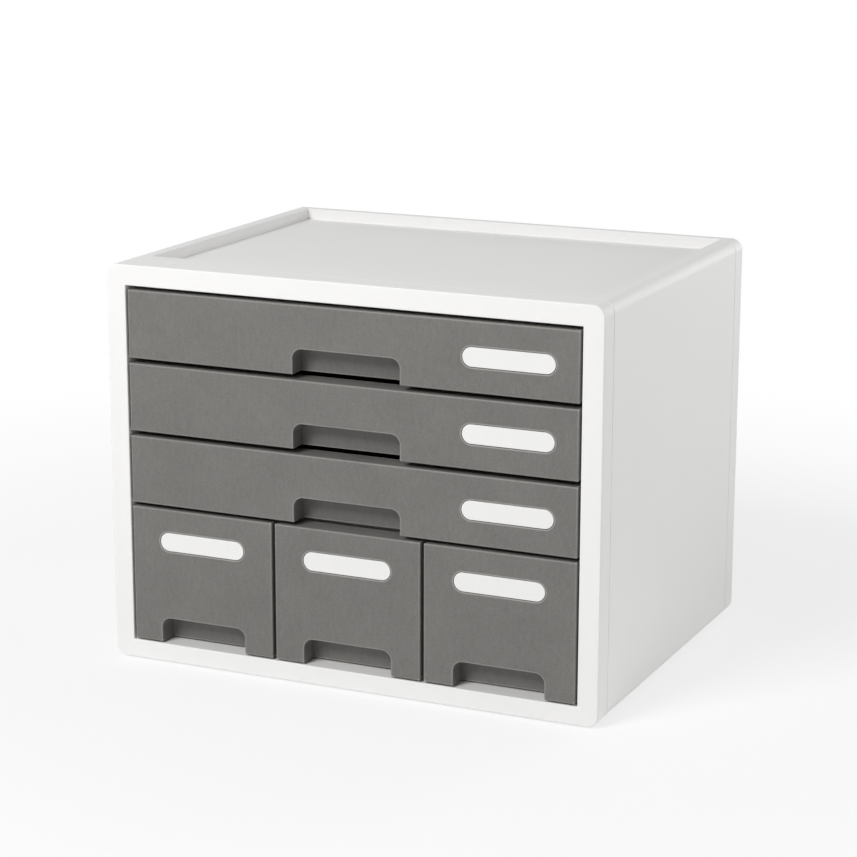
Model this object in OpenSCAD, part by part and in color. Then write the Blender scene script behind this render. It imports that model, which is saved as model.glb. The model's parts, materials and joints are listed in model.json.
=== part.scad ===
// Desktop drawer cabinet in moulded plastic: three wide drawers over three small ones.
// Millimetres, +Z up, front towards -Y. Origin: centre of the footprint, on the table.
// The case is a front frame, four panels and a back cover. Six drawers slide out along -Y.

/* [Case] */
// Overall width of the case
case_w = 350; // [330:1:420]
// Overall depth of the case
case_d = 270; // [240:1:340]
// Height of the case without its foot pads
case_h = 270; // [255:1:320]
// Radius of the four long outer edges
case_corner_r = 8; // [5:0.5:10]
// Wall thickness of the moulded case panels
case_wall = 2.5; // [2:0.1:3]
// Width and depth of the fine groove along the seams of the case
seam_groove = 0.6; // [0.3:0.1:0.8]

/* [Front frame] */
// Depth of the frame, front to back
frame_depth = 17; // [14:0.5:20]
// Width of the two upright rails
frame_side = 14; // [12:0.5:18]
// Height of the top rail
frame_top = 14; // [13:0.5:18]
// Height of the bottom rail
frame_bottom = 12.5; // [11:0.5:16]
// Thickness of the frame's face
frame_face = 3; // [2:0.1:4]
// Thickness of the lining around the opening
frame_lining = 2; // [1.5:0.1:2.5]
// Thickness of the tongue that enters the panels
spigot_t = 1.5; // [1:0.1:2]
// Length of the tongue behind the frame
spigot_len = 6; // [4:0.5:9]

/* [Top tray] */
// Depth of the tray in the top of the case
tray_recess = 8; // [5:0.5:9]
// Width of the rims left and right of the tray
rim_side = 14; // [12:0.5:18]
// Width of the rim behind the tray
rim_back = 7; // [6:0.5:12]
// Distance from the front face to the tray
tray_front = 36; // [30:1:50]

/* [Back cover] */
// Depth of the cover's side walls
back_depth = 16; // [12:0.5:20]
// Depth of the sunk field in the cover
back_field = 1; // [0.5:0.1:1.5]
// Width of the border around the sunk field
back_border = 26; // [22:1:32]
// Radius of a screw head
screw_head_r = 2.8; // [2.4:0.1:3]
// Height of a screw head
screw_head_h = 2.2; // [1.8:0.1:2.4]
// Radius of a screw shank
screw_r = 1.5; // [1.2:0.1:1.7]
// Length of a screw under its head
screw_len = 16; // [12:1:20]
// Radius of the bosses that take the screws
boss_r = 4; // [3.5:0.1:4.2]

/* [Shelf and runners] */
// Thickness of the shelf between the wide and the small drawers
shelf_t = 2.5; // [2:0.1:3]
// Thickness of the moulded ledges
ledge_t = 2.4; // [2:0.1:3]
// Width of the ledge under a wide tray
ledge_bearing = 10; // [8:0.5:20]
// Height of the guide lip beside a tray
guide_h = 6; // [4:0.5:7]
// Thickness of guide lips, partitions and runner ribs
rib_t = 2; // [1.5:0.1:2]
// Length of a partition's tab
tab_len = 16; // [10:1:24]

/* [Drawers] */
// Height of a wide drawer's front
wide_h = 46; // [42:0.5:50]
// Depth of every drawer front
front_depth = 16; // [14:0.5:17]
// Thickness of a front's face
front_face = 2.5; // [2.3:0.1:3]
// Thickness of a front's other walls
front_wall = 2; // [1.5:0.1:2.5]
// Radius of a front's four corners
front_corner_r = 1.5; // [1.2:0.1:2.5]
// Rounding of a front's face edges
front_edge_r = 1.2; // [0.5:0.1:1.2]
// Wall thickness of the trays
tray_wall = 2; // [1.5:0.1:2.5]
// Outside corner radius of the trays
tray_corner_r = 4; // [3:0.5:8]
// Drop from a tray's front wall to its other walls
wall_drop = 3; // [2.5:0.5:6]
// How far a drawer slides out
travel = 180; // [120:5:190]

/* [Finger pulls and labels] */
// Width of the pull in a wide front
pull_wide = 76; // [60:1:90]
// Width of the pull in a small front
pull_small = 63; // [50:1:66]
// Height of the pulls
pull_h = 17; // [14:0.5:20]
// Radius of a pull's upper corners
pull_r = 6.5; // [4:0.5:8]
// Width of a label plate
label_w = 62.5; // [50:0.5:66]
// Height of a label plate
label_h = 12.5; // [10:0.5:14]
// Thickness of a label plate
label_t = 1.4; // [1.1:0.1:1.5]
// Distance from a wide front's right edge to its label's centre
label_from_edge = 47.4; // [42:0.1:60]
// Distance from a small front's top edge to its label's centre
label_from_top = 22.3; // [16:0.1:28]

/* [Clearances] */
// Gap left and right of the wide fronts
side_gap = 1.4; // [0.8:0.1:1.8]
// Gap above the top front
top_gap = 2.5; // [2:0.1:3]
// Gap between two wide fronts
row_gap = 3.25; // [2.5:0.05:4]
// Gap between the lowest wide front and the small fronts
shelf_gap = 2.5; // [2:0.1:3]
// Gap under the small fronts
bottom_gap = 1; // [0.8:0.1:2]
// Gap between two small fronts
small_gap = 2.2; // [2:0.1:3]
// Gap between a tray and what it slides on
slide_gap = 0.3; // [0.2:0.05:0.5]
// Side play of a tray in its guides
side_play = 1; // [0.6:0.1:1.2]
// Gap left at a drawer's stop
stop_gap = 0.5; // [0.3:0.1:1]
// Clearance of parts that fit into each other
fit_gap = 0.15; // [0.1:0.01:0.25]
// Gap around a label plate
label_gap = 0.5; // [0.3:0.05:0.7]

/* [Foot pads] */
// Thickness of a foot pad
foot_h = 1; // [0.8:0.1:2]
// Radius of a foot pad
foot_r = 8; // [6:0.5:12]
// Distance from a pad's centre to the case's sides
foot_inset = 35; // [20:1:45]

/* [Hidden] */
$fn = 64;
cut = 1;                                    // overshoot of a cutting solid, overlap of joined ones

// Faces of the case
face_y = -case_d / 2;                       // front face
back_y = case_d / 2;                        // back face
frame_y = face_y + frame_depth;             // back of the frame, front of the panels
cover_y = back_y - back_depth;              // back of the panels, front of the cover
base_z = foot_h;                            // underside
roof_z = base_z + case_h;                   // top of the rims
inner_x = case_w / 2 - case_wall;           // inside of a side panel
panel_x = case_w / 2 - rim_side;            // edge between a side panel and the top and bottom
deck_z = base_z + case_wall;                // upper side of the bottom panel

// Opening of the frame
open_x = case_w / 2 - frame_side;
open_z0 = base_z + frame_bottom;
open_z1 = roof_z - frame_top;

// Top tray
floor_top = roof_z - tray_recess;
floor_low = floor_top - case_wall;
recess_y0 = face_y + tray_front;
recess_y1 = back_y - rim_back;
tray_flange = 6;                            // seat under the edge of the tray's floor

// Back cover
cover_in = back_y - case_wall - back_field; // inside of the sunk field
head_sink = 0.6;                            // a screw head below the cover's face
head_play = 0.4;                            // around a screw head
pad_t = screw_head_h + head_sink + case_wall; // thickness of the cover at a screw
pad_r = boss_r + 2;                         // the cover's pad is wider than its boss
boss_off = 0.8;                             // between a boss and the panel's wall
boss_tip = 6;                               // material beyond the tip of a screw
boss_x = inner_x - boss_r - boss_off;
boss_len = screw_len + boss_tip;
boss_y = back_y - pad_t;                    // seat of the cover on a boss
slot_l = 3.2;                               // cross slot in a screw head
slot_w = 0.7;
slot_d = 1;

// Drawer sizes
wide_w = 2 * (open_x - side_gap);
small_w = (wide_w - 2 * small_gap) / 3;
small_h = open_z1 - open_z0 - top_gap - 3 * wide_h - 2 * row_gap - shelf_gap - bottom_gap;
small_pitch = small_w + small_gap;
small_z = open_z0 + bottom_gap;
tray_lift = 2;                              // a tray's underside above its front's lower edge
tray_inset = 1;                             // a tray's side behind its front's side edge
tray_y = face_y + front_depth;              // joint between a front and its tray
tray_back_gap = 3;                          // behind a closed tray
tray_d = cover_in - tray_back_gap - tray_y;
tray_floor = 2;
front_drop = 0.4;                           // a tray's front wall below its front's top
function wide_z(row) = open_z1 - top_gap - (row + 1) * wide_h - row * row_gap;

// Joint of front and tray
peg_r = 2.5;
peg_len = 9;
peg_tip = 1;                                // space beyond the tip of a peg
socket_r = 4.2;
socket_edge = 12;                           // outer sockets from a front's side edge
socket_inner = 60;                          // inner sockets of a wide front from its middle

// Labels
label_sink = 0.1;                           // a label's face behind its front's face
label_seat = label_t + label_sink;
label_peg_r = 1.2;
label_peg_len = 1.4;
label_peg_end = 9;                          // pegs from the label's ends
label_peg = label_w / 2 - label_peg_end;    // pegs from the label's middle
label_wall = 1;                             // material behind a label's seat

// Runners, shelf and stops
rib_off = 1;                                // behind the frame's tongue
rib_y0 = frame_y + spigot_len + rib_off;    // front end of what stands inside the panels
tray_side = wide_w / 2 - tray_inset;        // side of a wide tray and of an outer small one
guide_x = tray_side + side_play;
function ledge_top(row) = wide_z(row) + tray_lift - slide_gap;
shelf_top = ledge_top(2);
shelf_low = shelf_top - shelf_t;
shelf_y1 = cover_in - fit_gap;
runner_top = small_z + tray_lift - slide_gap;
runner_inset = 16.6;                        // runner ribs from a small tray's side
runner_at = small_w / 2 - tray_inset - runner_inset; // from a small drawer's middle
small_guide = 31;                           // guide of an outer small drawer above its underside
lip_h = 4;                                  // shelf's front lip, the small drawers' stop
nib_gap = 0.8;                              // between a nib and the shelf
nib_inset = 0.3;                            // a nib's faces inside its wall's faces
lug_len = 8;
lug_out = 6;
lug_z = 8;                                  // a lug's underside above its tray's underside
partition_x = small_pitch / 2;
partition_y0 = rib_y0 + rib_t + fit_gap;
partition_y1 = cover_in - fit_gap;
tab_sink = 0.3;                             // a tab's end inside its slot
tab_end = 34;                               // middle of the outer tabs from a partition's ends
tab_at = [partition_y0 + tab_end, (partition_y0 + partition_y1) / 2, partition_y1 - tab_end];
screw_z = [
    (deck_z + shelf_low) / 2,
    (shelf_top + ledge_top(1) - ledge_t) / 2,
    (ledge_top(0) + floor_low - case_wall) / 2
];

// Rectangle with round corners about its middle
module rounded(w, h, r) {
    square([w - 2 * r, h], center = true);
    square([w, h - 2 * r], center = true);
    for (x = [-1, 1], y = [-1, 1])
        translate([x * (w / 2 - r), y * (h / 2 - r)]) circle(r);
}

// Solid of an XZ outline from y0 to y1
module along_y(y0, y1) {
    translate([0, y1, 0]) rotate([90, 0, 0]) linear_extrude(y1 - y0) children();
}

// Box from its low corner to its high corner
module block(low, high) {
    translate(low) cube(high - low);
}

// Outline of the case in XZ, inset all round
module case_outline(inset = 0) {
    translate([0, base_z + case_h / 2])
        rounded(case_w - 2 * inset, case_h - 2 * inset, case_corner_r - inset);
}

// Skin of the case in XZ, left and right of the top and bottom panels
module side_skin() {
    difference() {
        case_outline();
        case_outline(case_wall);
        translate([-panel_x, base_z - cut]) square([2 * panel_x, case_h + 2 * cut]);
    }
}

// What is cut from a seam's edge between y0 and y1
module groove(y0, y1) {
    along_y(y0, y1) difference() {
        case_outline(-cut);
        case_outline(seam_groove);
    }
}

// Mirrored copies left and right
module both_sides() {
    children();
    mirror([1, 0, 0]) children();
}

module front_frame() color("whitesmoke") difference() {
    union() {
        // face and outer wall
        along_y(face_y, frame_y) case_outline();
        // tongue inside the panels
        along_y(frame_y - cut, frame_y + spigot_len) case_outline(case_wall + fit_gap);
    }
    // opening
    block([-open_x, face_y - cut, open_z0], [open_x, frame_y + spigot_len + cut, open_z1]);
    // hollow between the outer wall and the lining
    along_y(face_y + frame_face, frame_y + spigot_len + cut) difference() {
        case_outline(case_wall + fit_gap + spigot_t);
        translate([-open_x - frame_lining, open_z0 - frame_lining])
            square([2 * (open_x + frame_lining), open_z1 - open_z0 + 2 * frame_lining]);
    }
    // the lining stops at the back of the frame
    block([-open_x - frame_lining - cut, frame_y, open_z0 - frame_lining - cut],
          [open_x + frame_lining + cut, frame_y + spigot_len + cut, open_z1 + frame_lining + cut]);
    groove(frame_y - seam_groove, frame_y);
}

// Right side panel with its moulded ledges, guides and screw bosses
module side_panel() color("gainsboro") difference() {
    union() {
        along_y(frame_y, cover_y) intersection() {
            side_skin();
            translate([0, base_z]) square([case_w, case_h]);
        }
        // wall of the top tray and the seat of its floor
        block([panel_x, recess_y0 - case_wall, floor_low - case_wall],
              [panel_x + case_wall, cover_y, roof_z]);
        block([panel_x - tray_flange, recess_y0 - case_wall, floor_low - case_wall],
              [inner_x + cut, cover_y, floor_low]);
        // lap over the bottom panel
        block([panel_x - tray_flange, rib_y0, deck_z],
              [case_w / 2 - case_corner_r + cut, cover_y, deck_z + case_wall]);
        // ledges and guide lips of the upper two drawers
        for (row = [0, 1]) {
            block([tray_side - ledge_bearing, rib_y0, ledge_top(row) - ledge_t],
                  [inner_x + cut, cover_y, ledge_top(row)]);
            block([guide_x, rib_y0, ledge_top(row) - ledge_t],
                  [guide_x + rib_t, cover_y, ledge_top(row) + guide_h]);
        }
        // groove that holds the shelf
        for (z = [shelf_low - ledge_t, shelf_top])
            block([guide_x + 2 * rib_t, rib_y0, z], [inner_x + cut, cover_y, z + ledge_t]);
        // guide of the outer small drawer
        block([guide_x, rib_y0, small_z + small_guide],
              [inner_x + cut, cover_y, small_z + small_guide + rib_t]);
        // bosses of the back cover's screws
        for (z = screw_z) {
            translate([boss_x, boss_y, z]) rotate([90, 0, 0]) cylinder(boss_len, boss_r, boss_r);
            block([boss_x, boss_y - boss_len, z - rib_t / 2], [inner_x + cut, cover_y, z + rib_t / 2]);
        }
    }
    for (z = screw_z)
        translate([boss_x, boss_y + cut, z]) rotate([90, 0, 0])
            cylinder(screw_len + 2 * cut, screw_r + fit_gap / 2, screw_r + fit_gap / 2);
}

module left_side_panel() mirror([1, 0, 0]) side_panel();

module right_side_panel() side_panel();

// Top panel: band behind the frame, step and sunk floor
module top_panel() color("gainsboro") {
    block([-panel_x, frame_y, roof_z - case_wall], [panel_x, recess_y0, roof_z]);
    block([-panel_x, recess_y0 - case_wall, floor_low], [panel_x, recess_y0, roof_z]);
    block([-panel_x, recess_y0 - case_wall, floor_low], [panel_x, recess_y1, floor_top]);
}

// Slots for the tabs of the two partitions between z0 and z1
module tab_slots(z0, z1) {
    both_sides() for (y = tab_at)
        block([partition_x - rib_t / 2 - fit_gap, y - tab_len / 2 - fit_gap, z0],
              [partition_x + rib_t / 2 + fit_gap, y + tab_len / 2 + fit_gap, z1]);
}

module bottom_panel() color("gainsboro") difference() {
    union() {
        block([-panel_x, frame_y, base_z], [panel_x, cover_y, deck_z]);
        // runner ribs of the small drawers
        for (i = [-1, 0, 1], side = [-1, 1])
            translate([i * small_pitch + side * runner_at - rib_t / 2, rib_y0, base_z])
                cube([rib_t, cover_y - rib_y0, runner_top - base_z]);
    }
    tab_slots(base_z - cut, deck_z + cut);
}

// Rim behind the top tray, hollow from below
module rear_rim() {
    block([-panel_x, recess_y1, floor_low - case_wall], [panel_x, recess_y1 + case_wall, roof_z]);
    block([-panel_x, recess_y1, roof_z - case_wall], [panel_x, back_y - cut, roof_z]);
    // seat of the tray's floor
    block([-panel_x, cover_y, floor_low - case_wall], [panel_x, recess_y1 + cut, floor_low]);
}

module back_cover() color("gainsboro") difference() {
    union() {
        along_y(back_y - case_wall, back_y) case_outline();
        along_y(cover_y, back_y - cut) side_skin();
        block([-panel_x, cover_y, base_z], [panel_x, back_y - cut, deck_z]);
        both_sides() block([panel_x, cover_y, floor_low - case_wall],
                           [panel_x + case_wall, back_y - cut, roof_z - cut]);
        rear_rim();
        // back of the sunk field
        block([back_border - case_w / 2 - case_wall, cover_in, base_z + back_border - case_wall],
              [case_w / 2 - back_border + case_wall, back_y - cut, roof_z - back_border + case_wall]);
        both_sides() for (z = screw_z)
            translate([boss_x, back_y - cut, z]) rotate([90, 0, 0])
                cylinder(pad_t - cut, pad_r, pad_r);
    }
    along_y(back_y - back_field, back_y + cut) translate([0, base_z + case_h / 2])
        rounded(case_w - 2 * back_border, case_h - 2 * back_border, case_corner_r);
    both_sides() for (z = screw_z) translate([boss_x, back_y + cut, z]) rotate([90, 0, 0]) {
        cylinder(pad_t + 2 * cut, screw_r + fit_gap, screw_r + fit_gap);
        cylinder(screw_head_h + head_sink + cut, screw_head_r + head_play,
                 screw_head_r + head_play);
    }
    groove(cover_y, cover_y + seam_groove);
}

// Six pan head screws
module back_screws() color("silver") both_sides() for (z = screw_z)
    translate([boss_x, boss_y + case_wall, z]) rotate([90, 0, 0]) {
        cylinder(screw_len + case_wall - cut, screw_r, screw_r);
        difference() {
            translate([0, 0, -screw_head_h]) cylinder(screw_head_h, screw_head_r, screw_head_r);
            for (a = [0, 90]) rotate(a)
                block([-slot_l / 2, -slot_w / 2, -screw_head_h - cut],
                      [slot_l / 2, slot_w / 2, slot_d - screw_head_h]);
        }
    }

module middle_shelf() color("gainsboro") difference() {
    union() {
        block([fit_gap - inner_x, rib_y0, shelf_low], [inner_x - fit_gap, shelf_y1, shelf_top]);
        both_sides() block([guide_x, rib_y0, shelf_low],
                           [guide_x + rib_t, shelf_y1, shelf_top + guide_h]);
        // front lip
        block([-tray_side, rib_y0, shelf_low - lip_h], [tray_side, rib_y0 + rib_t, shelf_top]);
    }
    tab_slots(shelf_low - cut, shelf_top + cut);
}

// Partition between two small drawers
module partition() color("gainsboro") {
    translate([partition_x - rib_t / 2, 0, 0]) {
        block([0, partition_y0, deck_z], [rib_t, partition_y1, shelf_low]);
        for (y = tab_at)
            block([0, y - tab_len / 2, base_z + tab_sink],
                  [rib_t, y + tab_len / 2, shelf_top - tab_sink]);
    }
}

module left_partition() mirror([1, 0, 0]) partition();

module right_partition() partition();

module foot_pads() color("lightgray") for (x = [-1, 1], y = [-1, 1])
    translate([x * (case_w / 2 - foot_inset), y * (case_d / 2 - foot_inset), 0])
        cylinder(foot_h, foot_r, foot_r);

// Outline of a finger pull in XZ, open at the lower edge
module pull_outline(w, h, r) {
    translate([-w / 2, -cut]) square([w, h - r + cut]);
    translate([-w / 2 + r, 0]) square([w - 2 * r, h]);
    for (x = [-1, 1]) translate([x * (w / 2 - r), h - r]) circle(r);
}

// Outline of a label in XZ
module label_outline(grow) {
    square([label_w - label_h, label_h + 2 * grow], center = true);
    for (x = [-1, 1]) translate([x * (label_w - label_h) / 2, 0]) circle(label_h / 2 + grow);
}

// Block of a front with round corners and a rounded face edge, face at y = 0
module front_block(w, h) {
    intersection() {
        along_y(0, front_depth) translate([0, h / 2]) rounded(w, h, front_corner_r);
        translate([0, front_depth, 0]) linear_extrude(h)
            rounded(w, 2 * front_depth, front_edge_r);
        translate([-w / 2, front_depth, h / 2]) rotate([90, 0, 90]) linear_extrude(w)
            rounded(2 * front_depth, h, front_edge_r);
    }
}

// Places of the sockets that join a front to its tray
function wide_sockets() = [for (s = [-1, 1], x = [socket_inner, wide_w / 2 - socket_edge]) s * x];
function small_sockets() = [for (s = [-1, 1]) s * (small_w / 2 - socket_edge)];

// Hollow drawer front, face at y = 0, lower edge at z = 0
module drawer_front(w, h, pull_w, label, sockets) color("gray") difference() {
    union() {
        difference() {
            front_block(w, h);
            block([front_wall - w / 2, front_face, front_wall],
                  [w / 2 - front_wall, front_depth + cut, h - front_wall]);
        }
        // walls of the pull's pocket
        intersection() {
            along_y(front_face - cut, front_depth)
                pull_outline(pull_w + 2 * front_wall, pull_h + front_wall, pull_r + front_wall);
            block([-w / 2, 0, 0], [w / 2, front_depth, h]);
        }
        // material behind the label
        translate([label[0], 0, label[1]])
            along_y(cut, label_seat + label_wall) label_outline(label_gap + label_wall);
        for (x = sockets) translate([x, front_depth, h / 2]) rotate([90, 0, 0])
            cylinder(front_depth - cut, socket_r, socket_r);
    }
    along_y(-cut, front_depth - front_wall) pull_outline(pull_w, pull_h, pull_r);
    translate([label[0], 0, label[1]]) {
        along_y(-cut, label_seat) label_outline(label_gap);
        for (s = [-1, 1]) translate([s * label_peg, front_face + cut, 0]) rotate([90, 0, 0])
            cylinder(front_face, label_peg_r + fit_gap, label_peg_r + fit_gap);
    }
    for (x = sockets) translate([x, front_depth + cut, h / 2]) rotate([90, 0, 0])
        cylinder(peg_len + peg_tip + cut, peg_r + fit_gap, peg_r + fit_gap);
}

// Open tray, front wall at y = 0, underside at z = 0, with the pegs of its front
module drawer_tray(w, front_h, socket_z, sockets) color("darkgray") {
    side_h = front_h - wall_drop;
    difference() {
        translate([0, tray_d / 2, 0]) linear_extrude(front_h) rounded(w, tray_d, tray_corner_r);
        translate([0, tray_d / 2, tray_floor]) linear_extrude(front_h)
            rounded(w - 2 * tray_wall, tray_d - 2 * tray_wall, tray_corner_r - tray_wall);
        block([-w / 2 - cut, tray_wall + tray_corner_r, side_h], [w / 2 + cut, tray_d + cut, front_h + cut]);
    }
    for (x = sockets) translate([x, tray_wall / 2, socket_z]) rotate([90, 0, 0])
        cylinder(peg_len + tray_wall / 2, peg_r, peg_r);
}

// White label plate, face at y = 0, with its two pegs
module drawer_label() color("white") {
    along_y(0, label_t) label_outline(0);
    for (s = [-1, 1]) translate([s * label_peg, label_t + label_peg_len, 0]) rotate([90, 0, 0])
        cylinder(label_peg_len + label_t / 2, label_peg_r, label_peg_r);
}

// Wide drawers: row 0 is the top one
module wide_front(row) translate([0, face_y, wide_z(row)])
    drawer_front(wide_w, wide_h, pull_wide, [wide_w / 2 - label_from_edge, wide_h / 2],
                 wide_sockets());

module wide_tray(row) translate([0, tray_y, wide_z(row) + tray_lift]) {
    drawer_tray(2 * tray_side, wide_h - tray_lift - front_drop, wide_h / 2 - tray_lift,
                wide_sockets());
    // stop lugs
    color("darkgray") both_sides()
        block([tray_side - tray_wall / 2, frame_y + travel + stop_gap - tray_y, lug_z],
              [tray_side + lug_out, frame_y + travel + stop_gap - tray_y + lug_len, lug_z + lug_len]);
}

module wide_label(row)
    translate([wide_w / 2 - label_from_edge, face_y + label_seat - label_t, wide_z(row) + wide_h / 2])
        drawer_label();

// Small drawers: column -1 is the left one
module small_front(column) translate([column * small_pitch, face_y, small_z])
    drawer_front(small_w, small_h, pull_small, [0, small_h - label_from_top], small_sockets());

module small_tray(column) translate([column * small_pitch, tray_y, small_z + tray_lift]) {
    front_h = small_h - tray_lift - front_drop;
    drawer_tray(small_w - 2 * tray_inset, front_h, small_h / 2 - tray_lift, small_sockets());
    // stop nibs on the side walls
    stop_y = rib_y0 + rib_t + travel + stop_gap - tray_y;
    color("darkgray") both_sides()
        block([small_w / 2 - tray_inset - tray_wall + nib_inset, stop_y, front_h - wall_drop - cut],
              [small_w / 2 - tray_inset - nib_inset, stop_y + lug_len,
               shelf_low - nib_gap - small_z - tray_lift]);
}

module small_label(column)
    translate([column * small_pitch, face_y + label_seat - label_t,
               small_z + small_h - label_from_top])
        drawer_label();

front_frame();
left_side_panel();
right_side_panel();
top_panel();
bottom_panel();
back_cover();
back_screws();
middle_shelf();
left_partition();
right_partition();
foot_pads();
wide_front(0);  // top_wide_front
wide_tray(0);  // top_wide_tray
wide_label(0);  // top_wide_label
wide_front(1);  // middle_wide_front
wide_tray(1);  // middle_wide_tray
wide_label(1);  // middle_wide_label
wide_front(2);  // lower_wide_front
wide_tray(2);  // lower_wide_tray
wide_label(2);  // lower_wide_label
small_front(-1);  // left_small_front
small_tray(-1);  // left_small_tray
small_label(-1);  // left_small_label
small_front(0);  // centre_small_front
small_tray(0);  // centre_small_tray
small_label(0);  // centre_small_label
small_front(1);  // right_small_front
small_tray(1);  // right_small_tray
small_label(1);  // right_small_label
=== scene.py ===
# %% [markdown]
# # A desktop drawer cabinet in moulded plastic
# The cabinet is a white case with six grey drawers. Every piece exists already as an exact solid with
# its true size, but with bare razor-sharp edges and no finish. This lesson dresses those solids: it
# rounds their edges as a mould would, and builds the plastics as node materials.
#
# We could model every piece again by hand. Starting from the solids is better, because the drawers
# then still fit their rails, and each rounded edge lies where the real mould has it.

# %% Load the solids
import json
import math

import bmesh
import bpy
from mathutils import Euler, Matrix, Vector


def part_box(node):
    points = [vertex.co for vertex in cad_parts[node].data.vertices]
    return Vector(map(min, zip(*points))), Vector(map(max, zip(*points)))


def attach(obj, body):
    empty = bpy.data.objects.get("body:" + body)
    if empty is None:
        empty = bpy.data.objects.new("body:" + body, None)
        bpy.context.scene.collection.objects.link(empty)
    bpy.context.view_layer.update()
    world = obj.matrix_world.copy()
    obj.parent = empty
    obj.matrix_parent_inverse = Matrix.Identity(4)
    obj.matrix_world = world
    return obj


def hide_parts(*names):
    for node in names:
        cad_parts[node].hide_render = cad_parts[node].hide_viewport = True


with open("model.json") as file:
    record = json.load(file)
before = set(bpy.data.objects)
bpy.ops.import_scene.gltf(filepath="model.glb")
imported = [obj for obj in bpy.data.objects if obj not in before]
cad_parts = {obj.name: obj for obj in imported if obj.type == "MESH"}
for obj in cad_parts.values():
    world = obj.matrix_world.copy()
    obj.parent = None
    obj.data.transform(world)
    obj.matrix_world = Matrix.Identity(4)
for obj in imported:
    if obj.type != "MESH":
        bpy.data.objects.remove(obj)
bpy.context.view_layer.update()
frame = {"nodes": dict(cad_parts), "record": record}

# %% [markdown]
# ## Units and the places that everything lines up with
# Blender counts in metres and a mould maker in millimetres, so one name turns one into the other.
# The places below are read from the solids, so a changed cabinet moves them along.

# %% Measure the case
MM = 0.001

case_low, case_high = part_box("front_frame")
_, back_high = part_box("back_cover")
face_y = case_low.y
back_y = back_high.y
roof_z = case_high.z
case_mid = (case_low + back_high) / 2
print(f"case {(case_high.x - case_low.x) / MM:.0f} mm wide, {(back_y - face_y) / MM:.0f} mm deep")

# %% [markdown]
# ## The camera
# The cabinet is seen from its right and a little from above, through a long lens, so its edges run
# nearly parallel. A long lens needs a long distance, and both numbers belong together. The camera
# also leans by a hair about its own line of sight.

# %% Place the camera
LENS = 107.8
SENSOR = 36.0
CAMERA_PLACE = Vector((0.7092, -1.5603, 0.5655))
TURN_LEFT = math.radians(24.55)
LOOK_DOWN = math.radians(13.72)
LEAN = math.radians(0.115)

camera_data = bpy.data.cameras.new("camera")
camera_data.lens = LENS
camera_data.sensor_width = SENSOR
camera = bpy.data.objects.new("camera", camera_data)
camera.location = CAMERA_PLACE
turn = Euler((math.pi / 2 - LOOK_DOWN, 0, TURN_LEFT)).to_matrix()
camera.rotation_euler = (turn @ Euler((0, 0, LEAN)).to_matrix()).to_euler()
bpy.context.scene.collection.objects.link(camera)
bpy.context.scene.camera = camera
print(f"camera {(CAMERA_PLACE - case_mid).length:.2f} m from the middle of the case")

# %% [markdown]
# ## Shader maths as plain sums
# A material is a graph of nodes, and wiring sums by hand hides what they say. This small class wraps
# one output of a node. Adding, subtracting or multiplying two of them adds the Math node that does it,
# also when a plain number stands on the left, as in 1 - mask.

# %% Wrap a socket
class Value:
    """A number that changes over a surface: one output socket of a node."""

    def __init__(self, graph, socket):
        self.graph = graph
        self.socket = socket

    def combined(self, operation, first, second):
        return self.graph.node("ShaderNodeMath", {"operation": operation}, {0: first, 1: second})

    def __add__(self, other):
        return self.combined("ADD", self, other)

    def __radd__(self, other):
        return self.combined("ADD", other, self)

    def __sub__(self, other):
        return self.combined("SUBTRACT", self, other)

    def __rsub__(self, other):
        return self.combined("SUBTRACT", other, self)

    def __mul__(self, other):
        return self.combined("MULTIPLY", self, other)

    def __rmul__(self, other):
        return self.combined("MULTIPLY", other, self)


# %% [markdown]
# Every other kind of node comes from one method as well. It takes the node's type, its settings,
# which are set first because they decide which sockets exist, and the numbers or links of its sockets.

# %% Build a graph of nodes
class Graph:
    """A tree of shader nodes under construction."""

    def __init__(self, owner):
        owner.use_nodes = True
        self.tree = owner.node_tree

    def node(self, kind, settings=None, values=None, output=0):
        """Adds a node of that kind and returns one of its outputs."""
        made = self.tree.nodes.new(kind)
        for setting, value in (settings or {}).items():
            setattr(made, setting, value)
        for name, value in (values or {}).items():
            self.feed(made.inputs[name], value)
        return Value(self, made.outputs[output])

    def feed(self, socket, value):
        """Links a socket to a Value, or sets it to a plain number or colour."""
        if isinstance(value, Value):
            self.tree.links.new(value.socket, socket)
        else:
            socket.default_value = value


# %% [markdown]
# ## A finish under construction
# Each plastic is one material with one Principled shader. The class below holds both, with the few
# patterns that all our finishes share. What stays the same all over a piece is written straight on
# the shader.
#
# Two of its nodes need a word. Ambient occlusion turned inside sends rays into the solid and gives the
# share of them that meets no wall within the width asked for: all of them on a broad, thick face, and
# half of them at a square edge. The gain below turns that lost half into a full 1. And the Mix node
# has one set of sockets for each kind of value, of which the numbers below are the colour's.

# %% Start a finish
EDGE_RAYS = 8
EDGE_GAIN = 2
MIX_SHARE = 0
MIX_FIRST = 6
MIX_SECOND = 7
MIXED_COLOUR = 2


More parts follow.
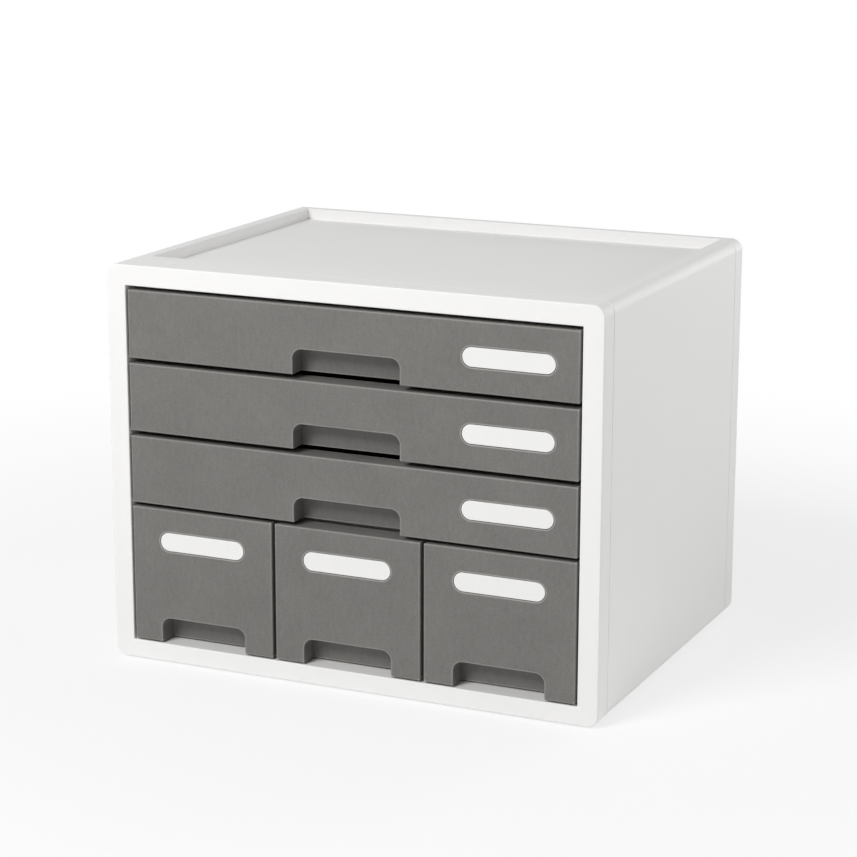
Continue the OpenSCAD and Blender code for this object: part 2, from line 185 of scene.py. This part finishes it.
class Finish(Graph):
    """A material and its shader, with the few things that our plastics have in common."""

    def __init__(self, name, **constants):
        self.material = bpy.data.materials.new(name)
        super().__init__(self.material)
        self.shader = self.tree.nodes["Principled BSDF"]
        for socket, value in constants.items():
            self.shader.inputs[socket.replace("_", " ")].default_value = value
        self.place = self.node("ShaderNodeTexCoord", output="Object")

    def noise(self, size, detail=2.0, roughness=0.5, stretch=(1, 1, 1)):
        """Even noise around 0 from about -0.5 to 0.5, with lumps of that size in metres."""
        scaled = self.node("ShaderNodeMapping", {"vector_type": "POINT"},
                           {"Vector": self.place, "Scale": [s / size for s in stretch]})
        cloud = self.node("ShaderNodeTexNoise", {"noise_dimensions": "3D"},
                          {"Vector": scaled, "Scale": 1.0, "Detail": detail, "Roughness": roughness})
        return cloud - 0.5

    def edges(self, width):
        """1 on outer edges, fading to 0 within that width of them."""
        depth = self.node("ShaderNodeAmbientOcclusion",
                          {"samples": EDGE_RAYS, "inside": True, "only_local": True},
                          {"Distance": width}, output="AO")
        return (1 - depth) * EDGE_GAIN

    def mix(self, share, first, second):
        """One colour turning into another as share goes from 0 to 1."""
        return self.node("ShaderNodeMix", {"data_type": "RGBA", "clamp_factor": True},
                         {MIX_SHARE: share, MIX_FIRST: first, MIX_SECOND: second},
                         output=MIXED_COLOUR)

    def colour(self, value):
        self.feed(self.shader.inputs["Base Color"], value)

    def roughness(self, value):
        self.feed(self.shader.inputs["Roughness"], value)

    def relief(self, height, depth):
        """Raises the surface by height, which runs over about 1, times depth in metres."""
        bump = self.node("ShaderNodeBump", {}, {"Strength": 1.0, "Distance": depth, "Height": height},
                         output="Normal")
        self.feed(self.shader.inputs["Normal"], bump)


# %% [markdown]
# The plastics are all greys, from nearly white to dark, and each leans a little to yellow. Three
# numbers for every colour would hide that, so a colour is given by its level and its warmth.

# %% Name a colour by level and warmth
def grey(level, warmth=0.0):
    """A colour from its level, a little yellower where warmth is above 0."""
    return (level * (1 + warmth), level, level * (1 - 2 * warmth), 1.0)


print("a warm middle grey:", [round(part, 3) for part in grey(0.2, 0.02)])

# %% [markdown]
# ## The white of the case
# The case is a fine matte white. Its mould was spark-eroded, which leaves a grain of about half a
# millimetre that only shows as a soft, even sheen. Large flat mouldings also flow and shrink a little
# unevenly, so their tone drifts by a hair over a hand's width. An image texture could show both, but it
# has seams and repeats itself. Noise at those two sizes runs through the whole solid without either,
# and a third, cloudy noise between them hides the step from grain to drift.

# %% Mix the white plastic
PLASTIC_IOR = 1.5
FLOW_SIZE = 70 * MM
CLOUD_SIZE = 9 * MM
GRAIN_SIZE = 0.5 * MM
GRAIN_DEPTH = 0.012 * MM
PALE_EDGE = 1.2 * MM
WHITE_WARMTH = 0.005


def white_plastic(name, level, gloss):
    """White of that level and roughness, glossier and with a faint painted highlight along the edges."""
    finish = Finish(name, Specular_IOR_Level=0.5, IOR=PLASTIC_IOR)
    flow = finish.noise(FLOW_SIZE, detail=3)
    cloudy = finish.noise(CLOUD_SIZE, detail=3)
    grain = finish.noise(GRAIN_SIZE, detail=1)
    painted_highlight_edges = finish.edges(PALE_EDGE)
    share = 0.5 + flow * 0.5 + cloudy * 0.3 + grain * 0.2
    plain = finish.mix(share, grey(level * 0.975, WHITE_WARMTH), grey(level * 1.01, WHITE_WARMTH))
    # painted highlight: the edges are painted a touch lighter, in place of light on their rounding
    finish.colour(finish.mix(painted_highlight_edges * 0.5, plain, grey(level * 1.02, 0.004)))
    finish.roughness(gloss + cloudy * 0.08 + grain * 0.06 - painted_highlight_edges * 0.05)
    finish.relief(grain + cloudy * 0.6, GRAIN_DEPTH)
    return finish.material


white_case = white_plastic("white_case", level=0.86, gloss=0.5)
white_label = white_plastic("white_label", level=0.84, gloss=0.36)
print("white plastics:", white_case.name, white_label.name)

# %% [markdown]
# ## The grey of the drawers
# The drawers are a warm dark grey with a satin skin. Up close the skin is slightly mottled: fine dark
# and light flecks, and faint streaks in the direction in which the plastic filled the mould. Along
# every edge the colour is painted much lighter. This painted highlight stands in for light caught by
# the rounded edges, and it draws the thin bright outline around every front. The edges are also a
# little glossier. The highlight could be painted piece by piece. The edge mask finds every edge on
# every piece at once, and follows when a shape changes.

# %% Mix the grey plastic
STREAK_SIZE = 3 * MM
STREAK_STRETCH = (1, 1, 0.4)
PATCH_SIZE = 35 * MM
FLECK_SIZE = 1.1 * MM
FLECK_DEPTH = 0.015 * MM
PAINTED_HIGHLIGHT_EDGE = 1.1 * MM
GREY_WARMTH = 0.027


def grey_plastic(name, level, gloss, mottle):
    """Grey of that level and roughness, more or less mottled, with a painted highlight along the edges.
    """
    finish = Finish(name, Specular_IOR_Level=0.4, IOR=PLASTIC_IOR)
    streak = finish.noise(STREAK_SIZE, detail=3, stretch=STREAK_STRETCH)
    patch = finish.noise(PATCH_SIZE, detail=2)
    fleck = finish.noise(FLECK_SIZE, detail=2, roughness=0.6)
    painted_highlight_edges = finish.edges(PAINTED_HIGHLIGHT_EDGE)
    share = 0.5 + streak * 0.9 * mottle + patch * 0.8 * mottle + fleck * 1.6 * mottle
    plain = finish.mix(share, grey(level * 0.84, GREY_WARMTH), grey(level * 1.16, GREY_WARMTH))
    # painted highlight: the edges are painted about three times lighter, in place of light on their
    # rounding
    finish.colour(finish.mix(painted_highlight_edges * 0.9, plain, grey(level * 3.1, 0.025)))
    finish.roughness(gloss + streak * 0.06 + fleck * 0.08 - painted_highlight_edges * 0.06)
    finish.relief(fleck + streak * 0.4, FLECK_DEPTH)
    return finish.material


grey_front = grey_plastic("grey_front", level=0.156, gloss=0.46, mottle=1.0)
grey_tray = grey_plastic("grey_tray", level=0.115, gloss=0.38, mottle=0.6)
print("grey plastics:", grey_front.name, grey_tray.name)

# %% [markdown]
# ## Screws and foot pads
# Zinc-plated steel is metal all through, with a pale blue tinge and tiny scratches from the driver.
# The pads are soft rubber: darker than the case, fully matte, with pores that hold a little dust.
# Both are small and seldom seen from close by, so two noises are enough for each.

# %% Mix the steel and the rubber
ZINC_DULL = (0.5, 0.52, 0.55, 1)
ZINC_BRIGHT = (0.68, 0.69, 0.7, 1)
SCRATCH_SIZE = 0.8 * MM
SCRATCH_STRETCH = (1, 1, 5)
SCRATCH_DEPTH = 0.01 * MM
STAIN_SIZE = 4 * MM
PORE_SIZE = 0.4 * MM
PORE_DEPTH = 0.03 * MM
DUST_SIZE = 5 * MM


def zinc_steel(name):
    finish = Finish(name, Metallic=1.0)
    scratch = finish.noise(SCRATCH_SIZE, detail=4, roughness=0.7, stretch=SCRATCH_STRETCH)
    stain = finish.noise(STAIN_SIZE)
    finish.colour(finish.mix(0.5 + stain, ZINC_DULL, ZINC_BRIGHT))
    finish.roughness(0.34 + scratch * 0.2)
    finish.relief(scratch, SCRATCH_DEPTH)
    return finish.material


def soft_rubber(name):
    finish = Finish(name, Specular_IOR_Level=0.3)
    pore = finish.noise(PORE_SIZE, detail=3)
    dust = finish.noise(DUST_SIZE)
    finish.colour(finish.mix(0.5 + dust + pore * 0.4, grey(0.4, 0.004), grey(0.5, 0.004)))
    finish.roughness(0.85 + pore * 0.1)
    finish.relief(pore, PORE_DEPTH)
    return finish.material


finishes = {
    "case_white": white_case,
    "drawer_grey": grey_front,
    "tray_grey": grey_tray,
    "label_white": white_label,
    "screw_steel": zinc_steel("screw_steel"),
    "pad_rubber": soft_rubber("pad_rubber"),
}
print(len(finishes), "finishes")

# %% [markdown]
# ## From a solid to a moulded piece
# A solid arrives as triangles that share no corners. Welding the corners and melting flat neighbours
# together gives back the clean faces that it was drawn with. Where a radius has to end in the middle
# of a straight edge, a cut across the whole piece parts that edge first.

# %% Clean a solid
WELD = 0.03 * MM
FLAT = math.radians(0.5)


def clean_solid(node, cut_y=None):
    """The solid of a node as a mesh of whole faces, and its edges parted at cut_y if that is given."""
    mesh = bmesh.new()
    mesh.from_mesh(frame["nodes"][node].data)
    bmesh.ops.remove_doubles(mesh, verts=mesh.verts, dist=WELD)
    bmesh.ops.dissolve_limit(mesh, angle_limit=FLAT, verts=mesh.verts, edges=mesh.edges)
    if cut_y is not None:
        bmesh.ops.bisect_plane(mesh, geom=[*mesh.verts, *mesh.edges, *mesh.faces],
                               plane_co=(0, cut_y, 0), plane_no=(0, 1, 0))
    return mesh


sample = clean_solid("front_frame")
triangles = len(frame["nodes"]["front_frame"].data.polygons)
print(f"front_frame: {triangles} triangles turned into {len(sample.faces)} faces")

# %% [markdown]
# Which edges get which radius is a list of rules for each piece. A rule is a radius and a test on the
# edge's own box. The first rule that fits an edge decides, and an edge that no rule names stays as
# it is. The radius is stored on the edge as a bevel weight, a share of the widest radius.

# %% Weigh the edges by rules
WIDEST = 3 * MM
TOUCH = 0.05 * MM
SHARP = math.radians(30)


class Edge:
    """The two ends of an edge, the box around it, and whether it is an outer corner."""

    def __init__(self, edge):
        self.ends = [v.co for v in edge.verts]
        self.low = Vector([min(a, b) for a, b in zip(*self.ends)])
        self.high = Vector([max(a, b) for a, b in zip(*self.ends)])
        self.outer = edge.is_convex

    def at(self, **planes):
        """Lies in all of those planes, such as y=face_y."""
        return all(abs(getattr(end, axis) - value) < TOUCH
                   for axis, value in planes.items() for end in (self.low, self.high))

    def within(self, axis, low, high):
        """Lies between those two values along that axis."""
        return getattr(self.low, axis) > low - TOUCH and getattr(self.high, axis) < high + TOUCH


def weigh_edges(mesh, rules):
    """Gives each sharp edge the radius of the first rule that fits, and counts the rounded ones."""
    weight = mesh.edges.layers.float.new("bevel_weight_edge")
    rounded = 0
    for edge in mesh.edges:
        if len(edge.link_faces) != 2 or edge.calc_face_angle() < SHARP:
            continue
        found = Edge(edge)
        radius = next((r for r, fits in rules if fits(found)), 0)
        edge[weight] = radius / WIDEST
        rounded += radius > 0
    return rounded


outer_edges = weigh_edges(sample, [(WIDEST, lambda e: e.outer)])
sample.free()
print(f"front_frame: {outer_edges} sharp outer edges")

# %% [markdown]
# One Bevel modifier then rounds all the weighted edges, with neat corners where they meet. Its result
# is written back as the piece's own mesh, because the shading comes last and needs the final faces.
# Every crease above 40 degrees parts the shading, and within a part the large faces decide. So flat
# faces look flat right up to their rounded edges.

# %% Round and shade a piece
BEVEL_STEPS = 3
CREASE = math.cos(math.radians(40))


def round_edges(piece):
    """Rounds the weighted edges of a piece and keeps the result as its mesh."""
    bevel = piece.modifiers.new("rounded edges", "BEVEL")
    bevel.limit_method = "WEIGHT"
    bevel.width = WIDEST
    bevel.segments = BEVEL_STEPS
    bevel.use_clamp_overlap = False
    bevel.loop_slide = False
    mesh = bmesh.new()
    mesh.from_object(piece, bpy.context.evaluated_depsgraph_get())
    mesh.to_mesh(piece.data)
    mesh.free()
    piece.modifiers.remove(bevel)


def even_shading(data):
    """Lets the large faces at a corner decide how it is shaded, and parts the shading at creases."""
    around = [[] for _ in data.vertices]
    for face in data.polygons:
        for corner in face.vertices:
            around[corner].append(face)
    normals = []
    for face in data.polygons:
        for corner in face.vertices:
            level = [other for other in around[corner] if other.normal.dot(face.normal) > CREASE]
            total = sum((other.normal * other.area for other in level), Vector())
            normals.append(total.normalized())
    data.normals_split_custom_set(normals)


# %% [markdown]
# With those steps at hand, moulding a piece is one call. The finished piece rides on the body of its
# solid, so that a drawer takes its front, tray and label along, and it is shown in the solid's place.

# %% Mould a piece
slots = {part["node"]: part["material_slot"] for part in frame["record"]["subparts"]}
bodies = {node: body for body, nodes in frame["record"]["behaviour"]["bodies"].items()
          for node in nodes}
pieces = []


def mould(node, rules, cut_y=None):
    """Makes a copy of a solid with rounded edges and its finish, in the solid's place."""
    mesh = clean_solid(node, cut_y)
    rounded = weigh_edges(mesh, rules)
    for face in mesh.faces:
        face.smooth = True
    data = bpy.data.meshes.new(node + "_moulded")
    mesh.to_mesh(data)
    mesh.free()
    piece = bpy.data.objects.new(node + "_moulded", data)
    bpy.context.scene.collection.objects.link(piece)
    round_edges(piece)
    even_shading(data)
    slot = slots[node]
    data.materials.append(finishes[slot])
    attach(piece, bodies[node])
    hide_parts(node)
    pieces.append(piece)
    print(f"{node}: {rounded} edges rounded")


# %% [markdown]
# ## The outline of the case
# Seen from the front the case is a rectangle with round corners. Many edges run along it: the front's
# and the back's, and the lips of the fine grooves that hide the joints. A formula for the depth of a
# point under that outline finds them all, round corners included.

# %% Find the edges on the outline
CORNER_R = 8 * MM


def skin_depth(point):
    """How far a point lies under the outline of the case, seen from the front."""
    across = abs(point.x) - (case_high.x - CORNER_R)
    up = abs(point.z - case_mid.z) - (roof_z - case_mid.z - CORNER_R)
    beyond = math.hypot(max(across, 0), max(up, 0))
    return CORNER_R - beyond - min(max(across, up), 0)


def on_skin(edge):
    """Runs along the outline."""
    return all(abs(skin_depth(end)) < TOUCH for end in edge.ends)


def on_side(edge):
    """Runs along the outline, but not on its flat top and bottom."""
    return on_skin(edge) and min(abs(end.x) for end in edge.ends) > case_high.x - CORNER_R - TOUCH


print(f"the middle of the case lies {skin_depth(case_mid) / MM:.0f} mm under its outline")

# %% [markdown]
# ## The case
# The frame is the cabinet's face: its outline is crisp, and the opening's edge is broken just enough
# not to feel sharp. Behind it a fine groove hides the joint to the panels, and its lips are rounded a
# little where hands pass over them. One radius for all edges would be quicker, but it would blur the
# outline or swallow the groove, so each kind of edge has a rule of its own.

# %% Mould the front frame
OUTLINE_R = 0.9 * MM
OPENING_R = 0.7 * MM
SEAM_R = 0.15 * MM

mould("front_frame", [
    (OUTLINE_R, lambda e: e.at(y=face_y) and on_skin(e)),
    (OPENING_R, lambda e: e.at(y=face_y)),
    (SEAM_R, on_side),
])

# %% [markdown]
# The top panel steps down behind the frame to the floor of a shallow tray. The step's edge is round
# enough to slide things over it, and its foot is a fillet that wipes clean. The side panels stand
# beside that floor as rims, with their edges broken. In front of the step they lie level with the top
# panel, and a rounding there would open a furrow. So they are cut at the step, where the rims begin.

# %% Mould the panels around the top tray
STEP = 36 * MM
STEP_R = 1.0 * MM
TRAY_EDGE_R = 0.5 * MM
TRAY_FILLET_R = 0.8 * MM
_, top_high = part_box("top_panel")
step_y = face_y + STEP
panel_x = top_high.x

mould("top_panel", [
    (STEP_R, lambda e: e.at(y=step_y, z=roof_z)),
    (TRAY_FILLET_R, lambda e: e.at(y=step_y) and not e.outer),
])
for side, x in (("left", -panel_x), ("right", panel_x)):
    mould(side + "_side_panel", [
        (TRAY_EDGE_R, lambda e: e.at(x=x, z=roof_z) and e.low.y > step_y - TOUCH),
        (SEAM_R, on_side),
    ], cut_y=step_y)
mould("bottom_panel", [])

# %% [markdown]
# The back cover closes the case and carries the tray's rear rim. Its outer edge is rounded most,
# because it is gripped when the cabinet is turned around, and the sunk field and the screws' pockets
# are softened less. The foot pads and the walls inside only get their burrs off.

# %% Mould the back cover, the pads and the walls inside
BACK_R = 1.2 * MM
FIELD_R = 0.6 * MM
RIB_R = 0.25 * MM
rim_y = top_high.y

mould("back_cover", [
    (TRAY_EDGE_R, lambda e: e.at(y=rim_y, z=roof_z) or e.at(x=panel_x, z=roof_z)
        or e.at(x=-panel_x, z=roof_z)),
    (BACK_R, lambda e: e.at(y=back_y) and on_skin(e)),
    (FIELD_R, lambda e: e.at(y=back_y)),
    (SEAM_R, on_side),
])
mould("back_screws", [])
mould("foot_pads", [(RIB_R, lambda e: e.outer)])
for node in ("middle_shelf", "left_partition", "right_partition"):
    mould(node, [(RIB_R, lambda e: e.outer)])

# %% [markdown]
# ## The drawers
# Each front is a hollow block that closes its drawer. Its own outline is already round in the solid.
# A finger pull is cut into its lower edge, and that cut is where a hand meets the drawer, so its rim
# is rounded more than the pocket behind it or the seat of the label. All six fronts follow the same
# rules, so one function serves them all, and only the width of the pull differs.

# %% Plan how a front is moulded
PULL_HEIGHT = 17 * MM
PULL_DEPTH = 14 * MM
WIDE_PULL_HALF = 38 * MM
SMALL_PULL_HALF = 31.5 * MM
PULL_R = 0.7 * MM
PULL_FLOOR_R = 0.4 * MM
LABEL_R = 0.2 * MM
pocket_y = face_y + PULL_DEPTH


def mould_front(drawer):
    """The pull's rim gets the widest radius, and the label's seat and the back a small one."""
    low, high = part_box(drawer + "_front")
    pull_x = (low.x + high.x) / 2
    pull_half = WIDE_PULL_HALF if "wide" in drawer else SMALL_PULL_HALF

    def on_pull(edge):
        return (edge.outer and edge.within("x", pull_x - pull_half, pull_x + pull_half)
                and edge.within("y", face_y, pocket_y)
                and edge.within("z", low.z, low.z + PULL_HEIGHT))

    mould(drawer + "_front", [
        (PULL_FLOOR_R, lambda e: on_pull(e) and e.at(y=pocket_y)),
        (PULL_R, on_pull),
        (LABEL_R, lambda e: e.at(y=face_y)),
        (RIB_R, lambda e: e.at(y=high.y) and e.outer),
    ])


print(f"finger pulls {PULL_HEIGHT / MM:.0f} mm high and {PULL_DEPTH / MM:.0f} mm deep")

# %% [markdown]
# A tray is a thin box. Its floor meets the walls in a fillet, so that small things don't wedge in the
# corner. The pegs at its front end sit unseen in the front and stay sharp. The stop nibs of a small
# tray stand 0.3 mm in from its wall, so the rim under them takes a smaller radius than that. The
# label lies in its seat with a hairline gap all round.

# %% Mould the drawers
PEG_LENGTH = 9 * MM
TRAY_RIM_R = 0.5 * MM
NIB_STEP_R = 0.25 * MM
TRAY_FLOOR_R = 1.5 * MM
TRAY_FLOOR = 2 * MM


def mould_tray(drawer):
    """The foot of the walls gets a fillet, and all outer edges behind the pegs are broken."""
    low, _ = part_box(drawer + "_tray")
    rim_r = TRAY_RIM_R if "wide" in drawer else NIB_STEP_R
    mould(drawer + "_tray", [
        (TRAY_FLOOR_R, lambda e: e.at(z=low.z + TRAY_FLOOR) and not e.outer),
        (rim_r, lambda e: e.outer and e.low.y > low.y + PEG_LENGTH),
    ])


def mould_label(drawer):
    """Only the edges of the face are broken."""
    low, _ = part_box(drawer + "_label")
    mould(drawer + "_label", [(LABEL_R, lambda e: e.at(y=low.y))])


drawers = [node[:-len("_front")] for node in slots if node.endswith("_front")]
for drawer in drawers:
    mould_front(drawer)
    mould_tray(drawer)
    mould_label(drawer)
print(len(pieces), "pieces,", sum(len(piece.data.polygons) for piece in pieces), "faces")

# %% [markdown]
# ## The studio
# White things are best shown on white. The floor and the world are white where they are looked at,
# straight, in a gloss or through glass, but the light that they cast is weaker than white. So white
# plastic keeps its shading. Close to the cabinet a part of what shows of the floor is plain matte,
# which takes the cabinet's shadow. Further out that part fades away, and no horizon shows.

# %% Lay the floor
WHITE = (1, 1, 1, 1)
FLOOR_LEVEL = 0.96
FLOOR_HALF = 20
WHITE_SHARE = 0.7
SHADOW_REACH = 0.25
WHITE_FROM = 0.9


def seen(graph):
    """1 for what is looked at, straight, in a gloss or through glass, and 0 for light cast on things."""
    looks = ("Is Camera Ray", "Is Glossy Ray", "Is Transmission Ray")
    straight, glossy, through = (graph.node("ShaderNodeLightPath", output=look) for look in looks)
    return straight + glossy + through


def white_floor(near_share, near, far):
    """Matte for the light it passes on, and seen as mixed with pure white: all white far away."""
    finish = Finish("white_floor", Base_Color=grey(FLOOR_LEVEL), Roughness=0.9)
    away = finish.node("ShaderNodeVectorMath", {"operation": "LENGTH"}, {0: finish.place},
                       output="Value")
    share = finish.node("ShaderNodeMapRange", {"interpolation_type": "SMOOTHSTEP"},
                        {"Value": away, "From Min": near, "From Max": far, "To Min": near_share,
                         "To Max": 1.0})
    matte = Value(finish, finish.shader.outputs["BSDF"])
    white = finish.node("ShaderNodeEmission", {}, {"Color": WHITE, "Strength": 1.0})
    both = finish.node("ShaderNodeMixShader", {}, {0: seen(finish) * share, 1: matte, 2: white})
    finish.feed(finish.tree.nodes["Material Output"].inputs["Surface"], both)
    return finish.material


corners = [(x * FLOOR_HALF, y * FLOOR_HALF, 0) for x, y in ((-1, -1), (1, -1), (1, 1), (-1, 1))]
floor_mesh = bpy.data.meshes.new("floor")
floor_mesh.from_pydata(corners, [], [(0, 1, 2, 3)])
floor_mesh.materials.append(white_floor(WHITE_SHARE, SHADOW_REACH, WHITE_FROM))
floor = bpy.data.objects.new("floor", floor_mesh)
bpy.context.scene.collection.objects.link(floor)
print(f"floor {2 * FLOOR_HALF} m wide, all white from {WHITE_FROM} m on")

# %% [markdown]
# The world is an even dome of weak white light. It fills the shadows, and behind everything it shows
# as pure white.

# %% Hang the soft light
WORLD_LIGHT = 0.26

world = bpy.data.worlds.new("studio")
bpy.context.scene.world = world
studio = Graph(world)
cast = studio.node("ShaderNodeBackground", {}, {"Color": WHITE, "Strength": WORLD_LIGHT})
backdrop = studio.node("ShaderNodeBackground", {}, {"Color": WHITE, "Strength": 1.0})
both = studio.node("ShaderNodeMixShader", {}, {0: seen(studio), 1: cast, 2: backdrop})
studio.feed(studio.tree.nodes["World Output"].inputs["Surface"], both)
bpy.context.scene.view_settings.view_transform = "Standard"
print("world light", WORLD_LIGHT)

# %% [markdown]
# Three softboxes do the rest. The key hangs high in front, a little to the left: it lights the fronts
# more than the top, and leaves the pulls and the gaps in shadow. The other two are weak, and keep the
# side and the back from going dull. Angles are in degrees, and distances and sizes in metres.

# %% Set the lamps
def softbox(name, turned, raised, distance, size, watts):
    """A square area lamp that faces the middle of the cabinet, turned to the right of the front."""
    data = bpy.data.lights.new(name, "AREA")
    data.size = size
    data.energy = watts
    lamp = bpy.data.objects.new(name, data)
    aim = Euler((math.radians(-raised), 0, math.radians(turned))).to_matrix()
    lamp.location = case_mid + aim @ Vector((0, -distance, 0))
    lamp.rotation_euler = (case_mid - lamp.location).to_track_quat("-Z", "Y").to_euler()
    bpy.context.scene.collection.objects.link(lamp)
    print(f"{name} lamp: {watts} W from {distance} m")


softbox("key", turned=-18, raised=38, distance=2.4, size=0.9, watts=38.5)
softbox("side", turned=99, raised=8, distance=3.0, size=1.2, watts=15.5)
softbox("rear", turned=155, raised=12, distance=2.5, size=1.2, watts=16)
